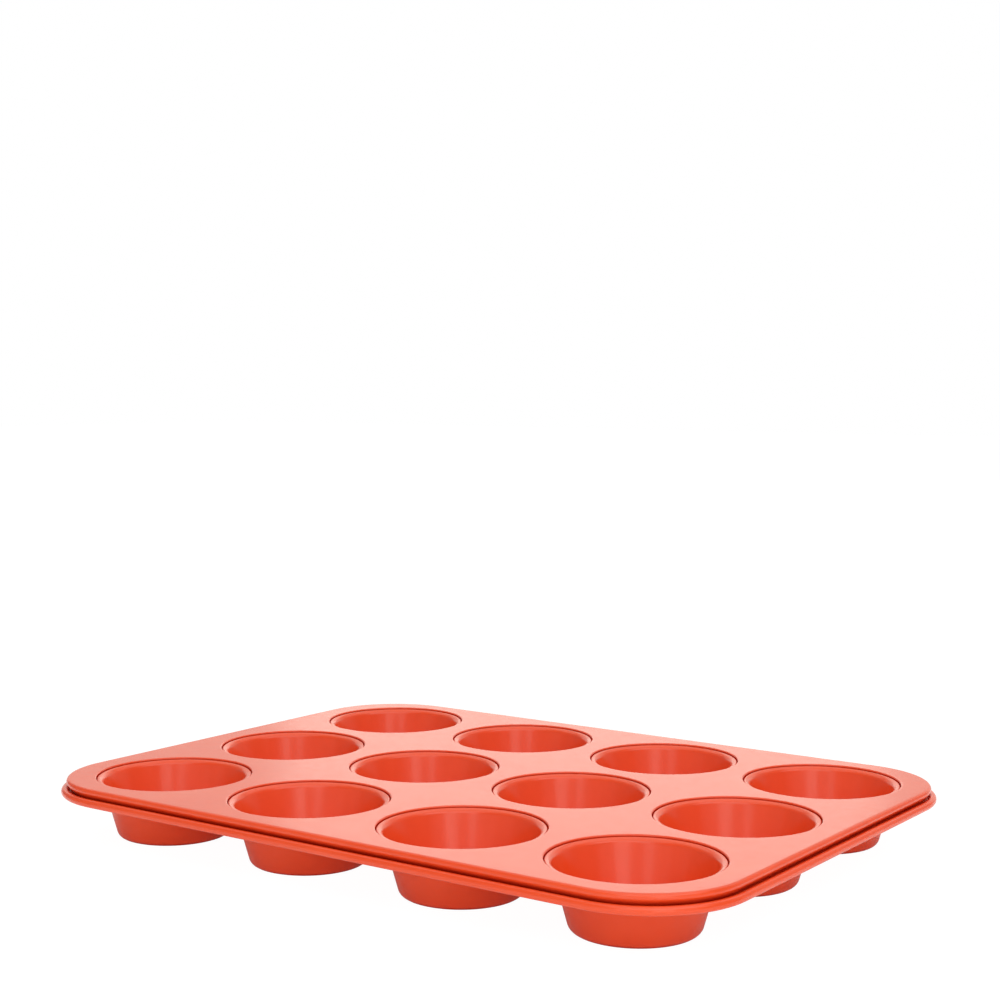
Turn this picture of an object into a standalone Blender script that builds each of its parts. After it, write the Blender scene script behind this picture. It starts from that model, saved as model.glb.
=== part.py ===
"""Twelve-cup muffin tin in coated sheet steel.

A pressed deck carries a rolled rim that is curled round a steel wire, and twelve cups, each a
separate pressing, are hooked into down-turned collars in the deck's holes.
Metres, +Z up. The origin is under the middle of the tin, level with the cups' bases.
"""

from math import cos, pi, radians, sin, tan

import bmesh
import bpy
from mathutils import Vector

# Layout of the cups
COLUMNS = 4
ROW_NAMES = ("front", "middle", "back")
PITCH_X = 0.0848
PITCH_Y = 0.0832

# Sheet metal
SHEET = 0.0005
CLEARANCE = 0.0003
HEIGHT = 0.0285

# Rim: outline over the curled edge, then its section
RIM_LENGTH = 0.3568
RIM_WIDTH = 0.2652
RIM_CORNER_RADIUS = 0.0453
SHOULDER_INSET = 0.0040
SHOULDER_RADIUS = 0.0016
SHOULDER_TURN = radians(130)
THROAT_INSET = 0.0058
THROAT_DROP = 0.0056
BEAD_RADIUS = 0.00185
BEAD_DROP = 0.00606
CURL_TURN = radians(288)
WIRE_RADIUS = 0.001

# Collar round each hole in the deck
COLLAR_RADIUS = 0.0361
COLLAR_BEND = 0.0005
COLLAR_DEPTH = 0.0037
COLLAR_FLARE = radians(10)

# Cup: base, wall, rolled lip, and the hem that hooks round the collar
BASE_RADIUS = 0.0261
WALL_DRAFT = radians(15.6)
BASE_FILLET = 0.0036
LIP_DROP = 0.0007
LIP_WIDTH = 0.0028
HEM_DEPTH = 0.0043
HEM_RETURN = 0.0019

# Facets
ROUND_SEGMENTS = 20
CORNER_SEGMENTS = 6
SHOULDER_SEGMENTS = 4
CURL_SEGMENTS = 8
WIRE_SEGMENTS = 8
FILLET_SEGMENTS = 2
SMOOTH_ANGLE = radians(35)
MERGE_DISTANCE = 1e-6

# Flat length drawn beyond a bend so that its first corner is square; it is left off the solid
LEAD = 0.001

# Finishes: colour, roughness, metallic
COATING = ("coral_coating", (0.73, 0.08, 0.035, 1.0), 0.42, 0.0)
BARE_STEEL = ("bare_steel", (0.55, 0.55, 0.56, 1.0), 0.35, 1.0)


def clear_scene():
    """Start from an empty file."""
    for old in list(bpy.data.objects):
        bpy.data.objects.remove(old, do_unlink=True)


def make_material(finish):
    """A Principled material from a name, colour, roughness and metallic value."""
    name, colour, roughness, metallic = finish
    material = bpy.data.materials.new(name)
    material.use_nodes = True
    shader = material.node_tree.nodes["Principled BSDF"]
    shader.inputs["Base Color"].default_value = colour
    shader.inputs["Roughness"].default_value = roughness
    shader.inputs["Metallic"].default_value = metallic
    material.diffuse_color = colour
    return material


def arc(centre, radius, start, end, steps):
    """Points along an arc in a section plane, ends included."""
    points = []
    for step in range(steps + 1):
        angle = start + (end - start) * step / steps
        points.append(Vector((centre[0] + radius * cos(angle), centre[1] + radius * sin(angle))))
    return points


def side_of_path(path, distance):
    """The path moved to its left by a distance, with mitred corners."""
    moved = []
    for index, point in enumerate(path):
        before = path[max(index - 1, 0)]
        after = path[min(index + 1, len(path) - 1)]
        normals = []
        for start, end in ((before, point), (point, after)):
            along = end - start
            if along.length > 0.0:
                normals.append(Vector((-along.y, along.x)).normalized())
        bisector = sum(normals, Vector((0.0, 0.0))).normalized()
        moved.append(point + bisector * (distance / bisector.dot(normals[0])))
    return moved


def sheet_sides(path):
    """The left and right faces of a sheet whose middle follows the path."""
    return side_of_path(path, SHEET / 2), side_of_path(path, -SHEET / 2)


def rim_path():
    """Middle of the sheet from a lead on the flat deck to the curl's free edge.

    The shoulder turns past upright into a throat, and the sheet comes out of it again to the curl.
    The first coordinate is measured outward from the rim's outline, so it is negative inside it.
    """
    lead = Vector((-SHOULDER_INSET - LEAD, HEIGHT - SHEET / 2))
    shoulder_centre = (-SHOULDER_INSET, HEIGHT - SHOULDER_RADIUS)
    shoulder_end = pi / 2 - SHOULDER_TURN
    shoulder = arc(
        shoulder_centre, SHOULDER_RADIUS - SHEET / 2, pi / 2, shoulder_end, SHOULDER_SEGMENTS
    )
    throat = Vector((-THROAT_INSET, HEIGHT - THROAT_DROP))
    curl = arc(wire_centre(), BEAD_RADIUS - SHEET / 2, pi, pi + CURL_TURN, CURL_SEGMENTS)
    return [lead] + shoulder + [throat] + curl


def wire_centre():
    """Section point at the middle of the rim's wire."""
    return (-BEAD_RADIUS, HEIGHT - BEAD_DROP)


def collar_path():
    """Middle of the sheet from a collar's lower edge to a lead on the deck, by radius and height."""
    bend_height = HEIGHT - SHEET / 2 - COLLAR_BEND
    mid_radius = COLLAR_RADIUS + SHEET / 2
    foot_height = HEIGHT - COLLAR_DEPTH
    foot_radius = mid_radius + (bend_height - foot_height) * tan(COLLAR_FLARE)
    return [
        Vector((foot_radius, foot_height)),
        Vector((mid_radius, bend_height)),
        Vector((mid_radius + COLLAR_BEND, HEIGHT - SHEET / 2)),
        Vector((mid_radius + COLLAR_BEND + LEAD, HEIGHT - SHEET / 2)),
    ]


def cup_path():
    """Middle of a cup's sheet from the axis, by radius and height, to the end of its hem."""
    floor = SHEET / 2
    base_centre = (
        BASE_RADIUS - BASE_FILLET * tan(pi / 4 - WALL_DRAFT / 2),
        BASE_FILLET,
    )
    fillet = arc(base_centre, BASE_FILLET - SHEET / 2, -pi / 2, -WALL_DRAFT, FILLET_SEGMENTS)

    lip_top = HEIGHT - LIP_DROP - SHEET / 2
    wall_top = lip_top - LIP_WIDTH
    wall_radius = fillet[-1].x + (wall_top - fillet[-1].y) * tan(WALL_DRAFT)

    # The outer leg lies inside the collar and the hem's return outside it, both at its flare.
    flare = tan(COLLAR_FLARE)
    reach = SHEET + CLEARANCE
    leg_top = lip_top - LIP_WIDTH / 4
    leg_foot = HEIGHT - HEM_DEPTH
    collar_foot, collar_head = collar_path()[:2]
    leg_radius = collar_head.x + (collar_head.y - leg_top) * flare - reach
    leg_foot_radius = collar_foot.x + (collar_foot.y - leg_foot) * flare - reach
    hem_radius = leg_foot_radius + 2 * reach
    return [
        Vector((0.0, floor)),
        *fillet,
        Vector((wall_radius, wall_top)),
        Vector((wall_radius + LIP_WIDTH / 3, lip_top - SHEET / 2)),
        Vector((leg_radius - LIP_WIDTH / 4, lip_top)),
        Vector((leg_radius, leg_top)),
        Vector((leg_foot_radius, leg_foot)),
        Vector((hem_radius, leg_foot)),
        Vector((hem_radius - HEM_RETURN * flare, leg_foot + HEM_RETURN)),
    ]


def circle(centre, radius):
    """Corners of a regular polygon round a centre, in the XY plane."""
    step = 2 * pi / ROUND_SEGMENTS
    return [
        (centre[0] + radius * cos(turn * step), centre[1] + radius * sin(turn * step))
        for turn in range(ROUND_SEGMENTS)
    ]


def rim_outline(offset):
    """The rim's rounded rectangle in the XY plane, grown outward by an offset."""
    radius = RIM_CORNER_RADIUS + offset
    corner_x = RIM_LENGTH / 2 - RIM_CORNER_RADIUS
    corner_y = RIM_WIDTH / 2 - RIM_CORNER_RADIUS
    outline = []
    for quarter, (side_x, side_y) in enumerate(((1, 1), (-1, 1), (-1, -1), (1, -1))):
        start = quarter * pi / 2
        centre = (side_x * corner_x, side_y * corner_y)
        outline += arc(centre, radius, start, start + pi / 2, CORNER_SEGMENTS)
    return outline


def add_loop(mesh, outline, height):
    """A closed row of vertices at one height."""
    return [mesh.verts.new((point[0], point[1], height)) for point in outline]


def join_loops(mesh, loops):
    """Quads between each closed row of vertices and the next."""
    for first, second in zip(loops, loops[1:]):
        for index, vertex in enumerate(first):
            behind = index - 1
            mesh.faces.new((first[behind], vertex, second[index], second[behind]))


def loop_edges(mesh, loop):
    """Edges round a closed row of vertices."""
    return [mesh.edges.get((loop[index - 1], vertex)) for index, vertex in enumerate(loop)]


def finish_object(name, mesh, material, location=(0.0, 0.0, 0.0)):
    """Turn the faces outward, shade them and link the object."""
    bmesh.ops.recalc_face_normals(mesh, faces=mesh.faces)
    data = bpy.data.meshes.new(name)
    mesh.to_mesh(data)
    mesh.free()
    data.materials.append(material)
    data.shade_smooth()
    data.set_sharp_from_angle(angle=SMOOTH_ANGLE)
    return place_object(name, data, location)


def place_object(name, data, location):
    """Link an object that shows a mesh at a location."""
    piece = bpy.data.objects.new(name, data)
    piece.location = location
    bpy.context.scene.collection.objects.link(piece)
    return piece


def cup_places():
    """Name and centre of each cup, row by row from the front."""
    for row, row_name in enumerate(ROW_NAMES):
        for column in range(COLUMNS):
            x = (column - (COLUMNS - 1) / 2) * PITCH_X
            y = (row - (len(ROW_NAMES) - 1) / 2) * PITCH_Y
            yield f"cup_{row_name}_{column + 1}", (x, y, 0.0)


def make_deck(material):
    """One sheet: flat deck, collared holes, rolled shoulder, throat and curled edge."""
    mesh = bmesh.new()
    outer_side, inner_side = sheet_sides(rim_path())
    rim = [
        add_loop(mesh, rim_outline(point.x), point.y)
        for point in outer_side[1:] + inner_side[:0:-1]
    ]
    join_loops(mesh, rim)
    top_edges = loop_edges(mesh, rim[0])
    under_edges = loop_edges(mesh, rim[-1])

    bore_side, back_side = sheet_sides(collar_path())
    for _, centre in cup_places():
        collar = [
            add_loop(mesh, circle(centre, point.x), point.y)
            for point in bore_side[-2::-1] + back_side[:-1]
        ]
        join_loops(mesh, collar)
        top_edges += loop_edges(mesh, collar[0])
        under_edges += loop_edges(mesh, collar[-1])

    for edges in (top_edges, under_edges):
        bmesh.ops.triangle_fill(mesh, edges=edges, use_beauty=True, normal=(0.0, 0.0, 1.0))
    return finish_object("deck_frame", mesh, material)


def make_wire(material):
    """The closed wire that the rim's edge is curled round."""
    mesh = bmesh.new()
    section = arc(wire_centre(), WIRE_RADIUS, 0.0, 2 * pi, WIRE_SEGMENTS)[:-1]
    loops = [add_loop(mesh, rim_outline(point.x), point.y) for point in section]
    join_loops(mesh, loops + loops[:1])
    return finish_object("rim_wire", mesh, material)


def make_cup(name, centre, material):
    """One cup, its section turned round the cup's axis."""
    mesh = bmesh.new()
    inside, outside = sheet_sides(cup_path())
    section = [mesh.verts.new((point.x, 0.0, point.y)) for point in outside + inside[::-1]]
    edges = [mesh.edges.new(pair) for pair in zip(section, section[1:])]
    bmesh.ops.spin(
        mesh,
        geom=section + edges,
        cent=(0.0, 0.0, 0.0),
        axis=(0.0, 0.0, 1.0),
        angle=2 * pi,
        steps=ROUND_SEGMENTS,
        use_merge=True,
    )
    bmesh.ops.remove_doubles(mesh, verts=mesh.verts, dist=MERGE_DISTANCE)
    return finish_object(name, mesh, material, centre)


def make_tin():
    """Deck, wire and cups; the cups share one mesh."""
    coating = make_material(COATING)
    make_deck(coating)
    make_wire(make_material(BARE_STEEL))
    pressed = None
    for name, centre in cup_places():
        if pressed is None:
            pressed = make_cup(name, centre, coating).data
        else:
            place_object(name, pressed, centre)


clear_scene()
make_tin()
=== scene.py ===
"""Looks of a twelve-cup muffin tin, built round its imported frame.

The deck, the rim's wire and the cups are redrawn as smooth thin sheet and given a satin coral
coating. Everything is in metres, +Z up, in the frame's own coordinates.
"""

from math import atan2, cos, pi, radians, sin, tan

import bmesh
import bpy
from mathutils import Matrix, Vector


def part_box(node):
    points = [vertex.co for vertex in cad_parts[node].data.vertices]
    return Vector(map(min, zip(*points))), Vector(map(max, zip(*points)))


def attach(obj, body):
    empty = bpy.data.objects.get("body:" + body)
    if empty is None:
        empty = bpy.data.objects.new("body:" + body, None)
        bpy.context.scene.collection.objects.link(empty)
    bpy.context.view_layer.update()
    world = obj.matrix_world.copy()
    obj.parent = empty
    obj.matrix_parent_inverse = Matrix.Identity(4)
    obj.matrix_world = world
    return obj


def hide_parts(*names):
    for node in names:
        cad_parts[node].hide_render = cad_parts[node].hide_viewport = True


CUP_PREFIX = "cup_"

# Thickness of the sheet metal
SHEET = 0.0005

# Rim section, measured inward from its outline and down from the deck
RIM_CORNER_RADIUS = 0.0453
SHOULDER_INSET = 0.0040
SHOULDER_RADIUS = 0.0016
SHOULDER_TURN = radians(130)
THROAT_INSET = 0.0058
THROAT_DROP = 0.0056
THROAT_BEND = 0.0004
BEAD_RADIUS = 0.00185
BEAD_DROP = 0.00606
CURL_TURN = radians(335)
WIRE_RADIUS = 0.00115

# Collar round each hole in the deck
COLLAR_RADIUS = 0.0361
COLLAR_BEND = 0.0004
COLLAR_DEPTH = 0.0037
COLLAR_FLARE = radians(10)

# Cup, with the hem that hooks round the collar
BASE_RADIUS = 0.0261
WALL_DRAFT = radians(15.6)
BASE_FILLET = 0.0036
LIP_DROP = 0.0007
LIP_FALL = 0.0006
LIP_BEND = 0.0025
LEG_BEND = 0.0005
SEAM_GAP = 0.0003
HEM_DEPTH = 0.0043
HEM_BEND = 0.0003
HEM_RETURN = 0.0018

# Fineness of the meshes
ROUND_SEGMENTS = 96
CORNER_SEGMENTS = 24
DETAIL_ANGLE = radians(12)
SMOOTH_ANGLE = radians(40)

# How far the rings of a rounded edge run on into the flat deck
FLAT_LEAD = 0.0008

# Camera: place, turn about X, Y and Z, lens and sensor in millimetres, nearest distance seen
CAMERA_PLACE = (0.4832, -0.6733, 0.2147)
CAMERA_TURN = (radians(86.15), radians(-0.12), radians(35.55))
CAMERA_LENS = 64.34
SENSOR_WIDTH = 36.0
NEAREST_SEEN = 0.01

# Colours, linear red, green and blue with full alpha
DEEP_CORAL = (0.84, 0.072, 0.014, 1.0)
PALE_CORAL = (0.88, 0.086, 0.020, 1.0)
# Painted shade: the coating's colour darkened to this deep red where crevices keep light out
CREVICE_SHADE_RED = (0.58, 0.020, 0.003, 1.0)
# Painted shade: the wire's steel grey is darker than bare steel, since the wire sits in shade inside
# the curl
SHADED_STEEL_GREY = (0.17, 0.16, 0.15, 1.0)
FLOOR_GREY = (0.93, 0.93, 0.93, 1.0)
WHITE = (1.0, 1.0, 1.0, 1.0)

# Noise: features a metre and levels of finer detail; and the values most noise lies between
CLOUD_NOISE = (35.0, 3.0)
DRAW_MARK_NOISE = (260.0, 4.0)
SKIN_NOISE = (1600.0, 2.0)
WIRE_NOISE = (900.0, 3.0)
NOISE_SPAN = (0.3, 0.7)

# Draw marks and sprayed skin: how the marks' noise is squeezed to stand tall, and their heights
DRAW_MARK_SQUEEZE = (1.0, 1.0, 0.06)
DRAW_MARK_HEIGHT = 0.00003
SKIN_HEIGHT = 0.000005

# Roughness, as spans or one value, and the specular level of the open coating
COATING_ROUGHNESS = (0.18, 0.25)
CREVICE_ROUGHNESS = 0.6
WIRE_ROUGHNESS = (0.5, 0.65)
COATING_GLOSS = 0.5

# Painted shade in crevices: how near a wall makes a crevice, how open to the light one and a plain
# face are, and the rays cast to tell
CREVICE_REACH = 0.0016
CREVICE_SPAN = (0.45, 0.85)
CREVICE_SAMPLES = 4

# Studio: even room light and the backdrop the camera sees for it; the floor's size, roughness and
# own glow; how white the camera sees the floor, and how far that white is mixed in
ROOM_LIGHT = 0.27
BACKDROP_LIGHT = 1.0
FLOOR_HALF_SIZE = 6.0
FLOOR_ROUGHNESS = 0.9
FLOOR_GLOW = 0.14
FLOOR_PALENESS = 1.09
FLOOR_WHITENESS = 0.88

# Softboxes: azimuth, elevation, width and height in degrees as seen from the tin, distance in
# metres, how warm, and power in watts
SOFTBOXES = {
    "back_card": (122, 14, 25, 28, 2.5, 0.14, 2.5),
    "back_wide": (120, 18, 80, 34, 3.0, 0.18, 19.5),
    "back_upper": (120, 60, 80, 36, 2.5, 0.08, 18.0),
    "overhead": (-40, 74, 66, 56, 2.5, 0.06, 28.0),
    "front_upper": (-30, 48, 70, 24, 2.5, 0.04, 13.5),
    "right_strip": (-38, 20, 17, 36, 1.0, 0.08, 0.75),
    "left_strip": (-70, 22, 10, 36, 0.7, 0.04, 0.15),
    "front_fill": (-55, 14, 100, 30, 2.5, 0.04, 13.0),
    "front_left_fill": (-120, 12, 36, 26, 2.5, 0.04, 1.3),
    "right_panel": (62, 22, 36, 40, 2.5, 0.10, 2.1),
}


# ---------------------------------------------------------------- section paths


def arc(centre, radius, start, end):
    """Points along an arc in a section plane, ends included."""
    steps = max(1, round(abs(end - start) / DETAIL_ANGLE))
    points = []
    for step in range(steps + 1):
        angle = start + (end - start) * step / steps
        points.append(Vector((centre[0] + radius * cos(angle), centre[1] + radius * sin(angle))))
    return points


def rounded_corner(before, corner, after, bend):
    """Points of the arc of radius bend that rounds one corner of a path."""
    into = (corner - before).normalized()
    out = (after - corner).normalized()
    turn = atan2(into.cross(out), into.dot(out))
    start = corner - into * bend * tan(abs(turn) / 2)
    to_centre = Vector((-into.y, into.x)) * (bend if turn > 0 else -bend)
    from_centre = atan2(-to_centre.y, -to_centre.x)
    return arc(start + to_centre, bend, from_centre, from_centre + turn)


def bent_path(corners):
    """A path through (across, up, bend radius) corners; the two ends have no bend."""
    points = [Vector(corner[:2]) for corner in corners]
    path = [points[0]]
    for index in range(1, len(corners) - 1):
        path += rounded_corner(*points[index - 1 : index + 2], corners[index][2])
    return path + [points[-1]]


def side_of_path(path, distance):
    """The path moved to its left by a distance, with mitred corners."""
    moved = []
    for index, point in enumerate(path):
        before = path[max(index - 1, 0)]
        after = path[min(index + 1, len(path) - 1)]
        normals = []
        for start, end in ((before, point), (point, after)):
            along = end - start
            if along.length > 0.0:
                normals.append(Vector((-along.y, along.x)).normalized())
        bisector = sum(normals, Vector((0.0, 0.0))).normalized()
        moved.append(point + bisector * (distance / bisector.dot(normals[0])))
    return moved


def sheet_outline(path):
    """Both faces of a sheet whose middle follows the path: out on its left, back on its right."""
    return side_of_path(path, SHEET / 2) + side_of_path(path, -SHEET / 2)[::-1]


def bead_centre(deck_top):
    """Section point at the middle of the rim's curled edge."""
    return (-BEAD_RADIUS, deck_top - BEAD_DROP)


def rim_path(deck_top):
    """Middle of the sheet from the flat deck, over the shoulder and in to a throat, to the curl."""
    flat = deck_top - SHEET / 2
    shoulder_centre = (-SHOULDER_INSET, deck_top - SHOULDER_RADIUS)
    shoulder = arc(shoulder_centre, SHOULDER_RADIUS - SHEET / 2, pi / 2, pi / 2 - SHOULDER_TURN)
    curl = arc(bead_centre(deck_top), BEAD_RADIUS - SHEET / 2, pi, pi + CURL_TURN)
    throat = Vector((-THROAT_INSET, deck_top - THROAT_DROP))
    throat_bend = rounded_corner(shoulder[-1], throat, curl[0], THROAT_BEND)
    return [Vector((-SHOULDER_INSET - FLAT_LEAD, flat))] + shoulder + throat_bend + curl


def collar_middle(deck_top, height):
    """Radius of the middle of a collar's sheet at a height."""
    return COLLAR_RADIUS + SHEET / 2 + (deck_top - height) * tan(COLLAR_FLARE)


def collar_path(deck_top):
    """Middle of the sheet from the flat deck down a collar to its lower edge."""
    flat = deck_top - SHEET / 2
    foot = deck_top - COLLAR_DEPTH
    head = collar_middle(deck_top, flat)
    return bent_path(
        [
            (head + COLLAR_BEND + FLAT_LEAD, flat, 0.0),
            (head, flat, COLLAR_BEND),
            (collar_middle(deck_top, foot), foot, 0.0),
        ]
    )


def cup_path(deck_top):
    """Middle of a cup's sheet from its axis to the end of the hem round the collar."""
    floor = SHEET / 2
    lip = deck_top - LIP_DROP - SHEET / 2
    foot = deck_top - HEM_DEPTH
    hem_end = foot + HEM_RETURN
    reach = SHEET + SEAM_GAP
    wall_foot = BASE_RADIUS + floor * tan(WALL_DRAFT) - SHEET / 2 / cos(WALL_DRAFT)
    lip_foot = lip - LIP_FALL
    wall_head = wall_foot + (lip_foot - floor) * tan(WALL_DRAFT)
    return bent_path(
        [
            (0.0, floor, 0.0),
            (wall_foot, floor, BASE_FILLET - SHEET / 2),
            (wall_head, lip_foot, LIP_BEND),
            (collar_middle(deck_top, lip) - reach, lip, LEG_BEND),
            (collar_middle(deck_top, foot) - reach, foot, HEM_BEND),
            (collar_middle(deck_top, foot) + reach, foot, HEM_BEND),
            (collar_middle(deck_top, hem_end) + reach, hem_end, 0.0),
        ]
    )


# ---------------------------------------------------------------- meshes


def circle(centre, radius):
    """Points round a centre in the XY plane."""
    step = 2 * pi / ROUND_SEGMENTS
    return [
        (centre[0] + radius * cos(turn * step), centre[1] + radius * sin(turn * step))
        for turn in range(ROUND_SEGMENTS)
    ]


def rim_outline(half_size, offset):
    """The rim's rounded rectangle in the XY plane, grown outward by an offset."""
    radius = RIM_CORNER_RADIUS + offset
    outline = []
    for quarter, sides in enumerate(((1, 1), (-1, 1), (-1, -1), (1, -1))):
        centre_x = sides[0] * (half_size[0] - RIM_CORNER_RADIUS)
        centre_y = sides[1] * (half_size[1] - RIM_CORNER_RADIUS)
        for step in range(CORNER_SEGMENTS + 1):
            angle = (quarter + step / CORNER_SEGMENTS) * pi / 2
            outline.append((centre_x + radius * cos(angle), centre_y + radius * sin(angle)))
    return outline


def add_loop(mesh, outline, height):
    """A closed row of vertices at one height."""
    return [mesh.verts.new((point[0], point[1], height)) for point in outline]


def join_loops(mesh, loops):
    """Quads between each closed row of vertices and the next."""
    for first, second in zip(loops, loops[1:]):
        for index, vertex in enumerate(first):
            behind = index - 1
            mesh.faces.new((first[behind], vertex, second[index], second[behind]))


def close_ring(mesh, ring, height):
    """Triangles from a ring of vertices to a point on the Z axis at a height."""
    middle = mesh.verts.new((0.0, 0.0, height))
    for index, vertex in enumerate(ring):
        mesh.faces.new((ring[index - 1], vertex, middle))


def loop_edges(mesh, loop):
    """Edges round a closed row of vertices."""
    return [mesh.edges.get((loop[index - 1], vertex)) for index, vertex in enumerate(loop)]


def finish_piece(name, mesh, material, node, place=(0.0, 0.0, 0.0)):
    """Link the mesh as a piece that rides on the frame and stands for one node."""
    bmesh.ops.recalc_face_normals(mesh, faces=mesh.faces)
    data = bpy.data.meshes.new(name)
    mesh.to_mesh(data)
    mesh.free()
    data.materials.append(material)
    data.shade_smooth()
    data.set_sharp_from_angle(angle=SMOOTH_ANGLE)
    piece = bpy.data.objects.new(name, data)
    piece.location = place
    bpy.context.scene.collection.objects.link(piece)
    bpy.context.view_layer.update()
    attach(piece, "root")
    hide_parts(node)
    return piece


def make_deck(half_size, deck_top, cup_places, material):
    """One sheet: flat deck, collared holes, rolled shoulder, throat and curled edge."""
    mesh = bmesh.new()
    section = sheet_outline(rim_path(deck_top))
    rim = [add_loop(mesh, rim_outline(half_size, point.x), point.y) for point in section]
    join_loops(mesh, rim)
    top_edges = loop_edges(mesh, rim[0])
    under_edges = loop_edges(mesh, rim[-1])

    section = sheet_outline(collar_path(deck_top))
    for centre in cup_places.values():
        collar = [add_loop(mesh, circle(centre, point.x), point.y) for point in section]
        join_loops(mesh, collar)
        top_edges += loop_edges(mesh, collar[-1])
        under_edges += loop_edges(mesh, collar[0])

    for edges in (top_edges, under_edges):
        bmesh.ops.triangle_fill(mesh, edges=edges, use_beauty=True, normal=(0.0, 0.0, 1.0))
    return finish_piece("deck_sheet", mesh, material, "deck_frame")


def make_wire(half_size, deck_top, material):
    """The closed wire inside the rim's curled edge."""
    mesh = bmesh.new()
    section = arc(bead_centre(deck_top), WIRE_RADIUS, 0.0, 2 * pi)[:-1]
    loops = [add_loop(mesh, rim_outline(half_size, point.x), point.y) for point in section]
    join_loops(mesh, loops + loops[:1])
    return finish_piece("edge_wire", mesh, material, "rim_wire")


def make_cup(name, place, deck_top, material):
    """One cup: its section turned round its axis, and both faces closed at the middle of the base."""
    mesh = bmesh.new()
    first, *section, last = sheet_outline(cup_path(deck_top))
    rings = [add_loop(mesh, circle((0.0, 0.0), point.x), point.y) for point in section]
    join_loops(mesh, rings)
    close_ring(mesh, rings[0], first.y)
    close_ring(mesh, rings[-1], last.y)
    piece_name = name.replace(CUP_PREFIX, "pressed_cup_")
    return finish_piece(piece_name, mesh, material, name, place)


# ---------------------------------------------------------------- materials


def new_material(name):
    """A material with its node tree and Principled shader."""
    material = bpy.data.materials.new(name)
    material.use_nodes = True
    return material, material.node_tree, material.node_tree.nodes["Principled BSDF"]


def feed(tree, socket, value):
    """Link an input to a value that is a socket, or else set the input to it."""
    if isinstance(value, bpy.types.NodeSocket):
        tree.links.new(value, socket)
    else:
        socket.default_value = value


def noise(tree, grain, vector):
    """Noise of a grain, its features a metre and levels of detail; returns its value socket."""
    node = tree.nodes.new("ShaderNodeTexNoise")
    node.inputs["Scale"].default_value = grain[0]
    node.inputs["Detail"].default_value = grain[1]
    tree.links.new(vector, node.inputs["Vector"])
    return node.outputs["Fac"]


def ramp(tree, value, low, high, span=NOISE_SPAN):
    """Map a span of a value, by default most of a noise, to a range; returns its socket."""
    node = tree.nodes.new("ShaderNodeMapRange")
    node.inputs["From Min"].default_value = span[0]
    node.inputs["From Max"].default_value = span[1]
    node.inputs["To Min"].default_value = low
    node.inputs["To Max"].default_value = high
    tree.links.new(value, node.inputs["Value"])
    return node.outputs["Result"]


def mix(tree, kind, share, first, second):
    """Run from the first number or colour to the second by a share socket; returns its socket."""
    node = tree.nodes.new("ShaderNodeMix")
    node.data_type = kind
    tree.links.new(share, node.inputs["Factor"])
    feed(tree, node.inputs["A"], first)
    feed(tree, node.inputs["B"], second)
    return node.outputs["Result"]


def mix_shaders(tree, share, first, second):
    """Run from the first shader to the second by a share; returns its socket."""
    node = tree.nodes.new("ShaderNodeMixShader")
    feed(tree, node.inputs[0], share)
    tree.links.new(first, node.inputs[1])
    tree.links.new(second, node.inputs[2])
    return node.outputs["Shader"]


def bump(tree, height, distance, beneath=None):
    """Raise the surface by a height socket; returns the normal, added to one beneath it."""
    node = tree.nodes.new("ShaderNodeBump")
    node.inputs["Distance"].default_value = distance
    tree.links.new(height, node.inputs["Height"])
    if beneath:
        tree.links.new(beneath, node.inputs["Normal"])
    return node.outputs["Normal"]


def coating_material():
    """Satin coral coating: faint clouding, upright draw marks, fine skin, and painted shade in
    crevices: darker, duller, less specular.
    """
    material, tree, shader = new_material("coral_coating")
    place = tree.nodes.new("ShaderNodeTexCoord").outputs["Object"]
    upright = tree.nodes.new("ShaderNodeMapping")
    upright.inputs["Scale"].default_value = DRAW_MARK_SQUEEZE
    tree.links.new(place, upright.inputs["Vector"])
    draw_marks = noise(tree, DRAW_MARK_NOISE, upright.outputs["Vector"])

    # Painted shade: an AO node finds crevices, and there the coating is painted dark red, made duller
    # and given less specular
    crevice_shade = tree.nodes.new("ShaderNodeAmbientOcclusion")
    crevice_shade.samples = CREVICE_SAMPLES
    crevice_shade.inputs["Distance"].default_value = CREVICE_REACH
    unshaded = ramp(tree, crevice_shade.outputs["AO"], 0.0, 1.0, CREVICE_SPAN)

    clouding = ramp(tree, noise(tree, CLOUD_NOISE, place), 0.0, 1.0)
    tone = mix(tree, "RGBA", clouding, DEEP_CORAL, PALE_CORAL)
    tree.links.new(mix(tree, "RGBA", unshaded, CREVICE_SHADE_RED, tone), shader.inputs["Base Color"])

    satin = ramp(tree, draw_marks, *COATING_ROUGHNESS)
    roughness = mix(tree, "FLOAT", unshaded, CREVICE_ROUGHNESS, satin)
    tree.links.new(roughness, shader.inputs["Roughness"])
    gloss = ramp(tree, crevice_shade.outputs["AO"], 0.0, COATING_GLOSS, CREVICE_SPAN)
    tree.links.new(gloss, shader.inputs["Specular IOR Level"])

    marks = bump(tree, draw_marks, DRAW_MARK_HEIGHT)
    skin = bump(tree, noise(tree, SKIN_NOISE, place), SKIN_HEIGHT, marks)
    tree.links.new(skin, shader.inputs["Normal"])
    return material


def wire_material():
    """Drawn steel wire, unevenly dull, its grey darkened as painted shade for the curl around it."""
    material, tree, shader = new_material("drawn_steel")
    place = tree.nodes.new("ShaderNodeTexCoord").outputs["Object"]
    shader.inputs["Metallic"].default_value = 1.0
    # Painted shade: a steel grey darker than bare steel
    shader.inputs["Base Color"].default_value = SHADED_STEEL_GREY
    dullness = ramp(tree, noise(tree, WIRE_NOISE, place), *WIRE_ROUGHNESS)
    tree.links.new(dullness, shader.inputs["Roughness"])
    return material


# ---------------------------------------------------------------- studio


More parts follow.
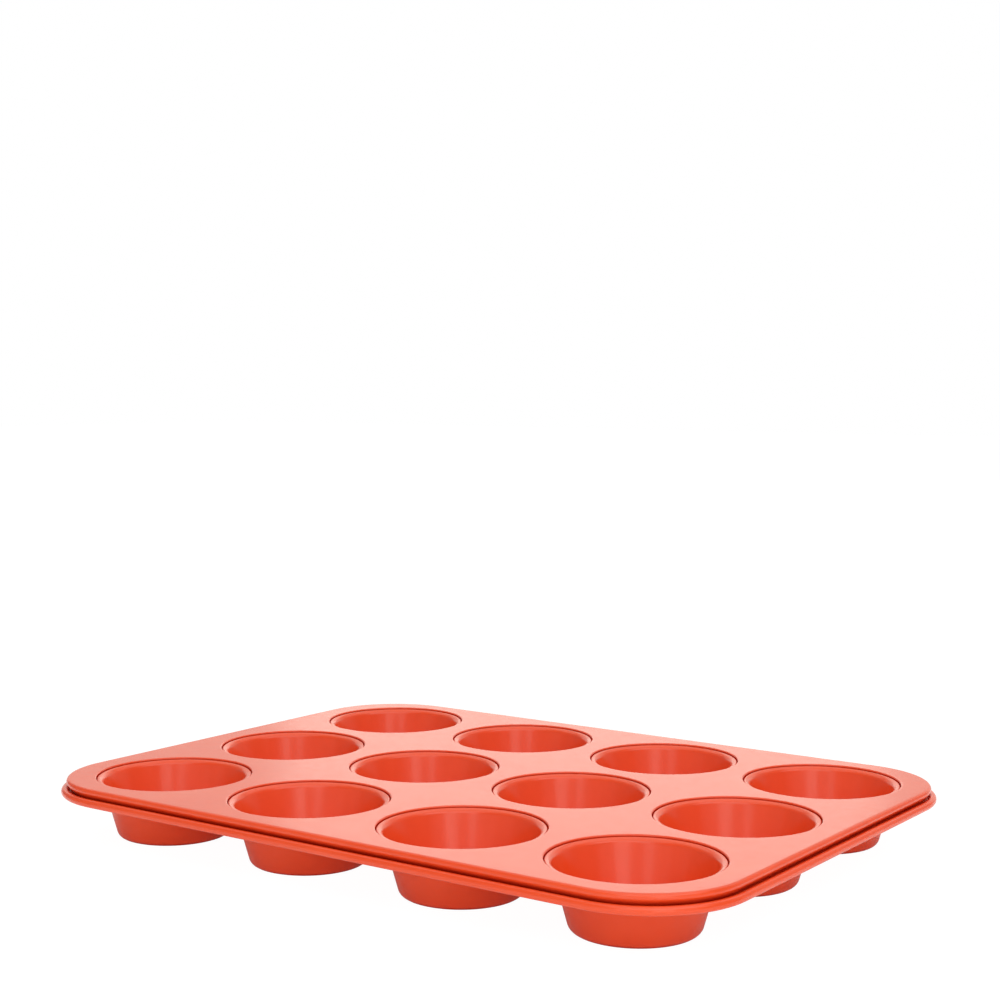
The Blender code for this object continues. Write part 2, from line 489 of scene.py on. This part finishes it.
def background(tree, strength):
    """A plain white background of a strength; returns its shader socket."""
    node = tree.nodes.new("ShaderNodeBackground")
    node.inputs["Color"].default_value = WHITE
    node.inputs["Strength"].default_value = strength
    return node.outputs["Background"]


def split_for_camera(tree, other_rays, camera_rays, output):
    """Send one shader to the camera's own rays and another to all the light's rays."""
    to_camera = tree.nodes.new("ShaderNodeLightPath").outputs["Is Camera Ray"]
    tree.links.new(mix_shaders(tree, to_camera, other_rays, camera_rays), output)


def floor_material():
    """A pale matt floor that the camera sees nearly shadowless, and sees through from below."""
    material, tree, shader = new_material("pale_floor")
    shader.inputs["Base Color"].default_value = FLOOR_GREY
    shader.inputs["Roughness"].default_value = FLOOR_ROUGHNESS
    shader.inputs["Emission Color"].default_value = WHITE
    shader.inputs["Emission Strength"].default_value = FLOOR_GLOW
    matt = shader.outputs["BSDF"]
    pale = tree.nodes.new("ShaderNodeEmission")
    pale.inputs["Strength"].default_value = FLOOR_PALENESS
    above = mix_shaders(tree, FLOOR_WHITENESS, matt, pale.outputs["Emission"])
    below = tree.nodes.new("ShaderNodeBsdfTransparent").outputs["BSDF"]
    from_below = tree.nodes.new("ShaderNodeNewGeometry").outputs["Backfacing"]
    seen = mix_shaders(tree, from_below, above, below)
    split_for_camera(tree, matt, seen, tree.nodes["Material Output"].inputs["Surface"])
    return material


def make_floor():
    """A floor far larger than the view."""
    mesh = bmesh.new()
    bmesh.ops.create_grid(mesh, x_segments=1, y_segments=1, size=FLOOR_HALF_SIZE)
    data = bpy.data.meshes.new("floor")
    mesh.to_mesh(data)
    mesh.free()
    data.materials.append(floor_material())
    floor = bpy.data.objects.new("floor", data)
    bpy.context.scene.collection.objects.link(floor)


def make_world():
    """A dim even room that the camera sees as a white backdrop."""
    world = bpy.data.worlds.new("studio")
    world.use_nodes = True
    tree = world.node_tree
    room = background(tree, ROOM_LIGHT)
    backdrop = background(tree, BACKDROP_LIGHT)
    split_for_camera(tree, room, backdrop, tree.nodes["World Output"].inputs["Surface"])
    bpy.context.scene.world = world


def add_softbox(name, azimuth, elevation, width, height, distance, warmth, power):
    """A soft light aimed at the tin; a warm one lacks some blue and a third as much green."""
    turn = radians(azimuth)
    rise = radians(elevation)
    toward = Vector((cos(rise) * cos(turn), cos(rise) * sin(turn), sin(rise)))
    light = bpy.data.lights.new(name, "AREA")
    light.shape = "RECTANGLE"
    light.size = 2 * distance * tan(radians(width / 2))
    light.size_y = 2 * distance * tan(radians(height / 2))
    light.color = (1.0, 1.0 - warmth / 3, 1.0 - warmth)
    light.energy = power
    lamp = bpy.data.objects.new(name, light)
    lamp.location = toward * distance
    lamp.rotation_euler = toward.to_track_quat("Z", "Y").to_euler()
    lamp.visible_camera = False
    bpy.context.scene.collection.objects.link(lamp)


def make_lights():
    """The studio's soft lights."""
    for name, settings in SOFTBOXES.items():
        add_softbox(name, *settings)


def make_camera():
    """The camera that sees the tin from its front right, low over the deck."""
    data = bpy.data.cameras.new("camera")
    data.lens = CAMERA_LENS
    data.sensor_width = SENSOR_WIDTH
    data.clip_start = NEAREST_SEEN
    camera = bpy.data.objects.new("camera", data)
    camera.location = CAMERA_PLACE
    camera.rotation_euler = CAMERA_TURN
    bpy.context.scene.collection.objects.link(camera)
    bpy.context.scene.camera = camera
    bpy.context.scene.view_settings.view_transform = "Standard"


# ---------------------------------------------------------------- the tin


def cup_places(nodes):
    """Centre of each cup node, on the level of the tin's base."""
    places = {}
    for name in sorted(nodes):
        if name.startswith(CUP_PREFIX):
            low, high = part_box(name)
            places[name] = ((low[0] + high[0]) / 2, (low[1] + high[1]) / 2, low[2])
    return places


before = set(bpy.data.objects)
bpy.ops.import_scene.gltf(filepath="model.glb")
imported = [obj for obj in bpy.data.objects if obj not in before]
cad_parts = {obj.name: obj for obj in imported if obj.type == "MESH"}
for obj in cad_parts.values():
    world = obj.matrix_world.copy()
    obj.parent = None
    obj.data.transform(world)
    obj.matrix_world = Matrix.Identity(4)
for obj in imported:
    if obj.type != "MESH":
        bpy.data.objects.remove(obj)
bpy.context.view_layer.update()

deck_low, deck_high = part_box("deck_frame")
deck_top = deck_high[2]
half_size = ((deck_high[0] - deck_low[0]) / 2, (deck_high[1] - deck_low[1]) / 2)
places = cup_places(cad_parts)
coating = coating_material()

make_deck(half_size, deck_top, places, coating)
make_wire(half_size, deck_top, wire_material())
for cup_name, cup_place in places.items():
    make_cup(cup_name, cup_place, deck_top, coating)

make_floor()
make_world()
make_lights()
make_camera()
